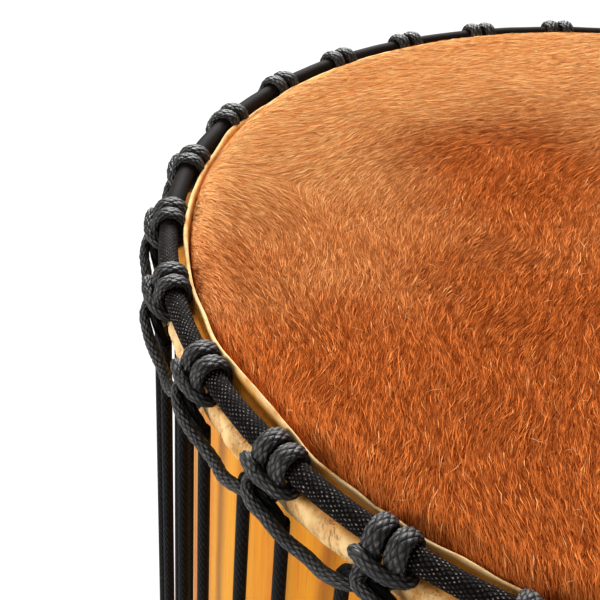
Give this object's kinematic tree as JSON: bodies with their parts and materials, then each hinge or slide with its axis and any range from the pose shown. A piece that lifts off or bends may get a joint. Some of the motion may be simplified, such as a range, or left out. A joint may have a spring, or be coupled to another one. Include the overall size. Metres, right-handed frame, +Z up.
{
  "type": "rope-tensioned cylinder drum",
  "caption": "Large double-headed cylinder drum with hide heads lapped round hoops, sleeved crown rings hitched with rope, and one rope drawn up and down the wooden shell.",
  "frame": {"origin": "centre of the lower head's flat face, where the drum stands", "axes": "+Z up along the drum's axis towards the upper playing head; +X through the middle of one upper hitch"},
  "size_m": [0.534, 0.534, 0.65],
  "materials": {
    "lacquered_wood": "yellow stain under satin lacquer, upright grain",
    "haired_hide": "short brown hair on cow hide, cream where it is trimmed and lapped",
    "steel": "round rod, bare",
    "woven_sleeve": "tight braided sleeve",
    "black_rope": "braided polyester rope, slightly waxy"
  },
  "bodies": {
    "root": {"shell": "lacquered_wood", "top_head": "haired_hide", "top_flesh_hoop": "steel", "top_crown_ring": "steel", "top_crown_sleeve": "woven_sleeve", "top_cradle_rope": "black_rope", "bottom_head": "haired_hide", "bottom_flesh_hoop": "steel", "bottom_crown_ring": "steel", "bottom_crown_sleeve": "woven_sleeve", "bottom_cradle_rope": "black_rope", "pull_rope": "black_rope"}
  },
  "joints": []
}
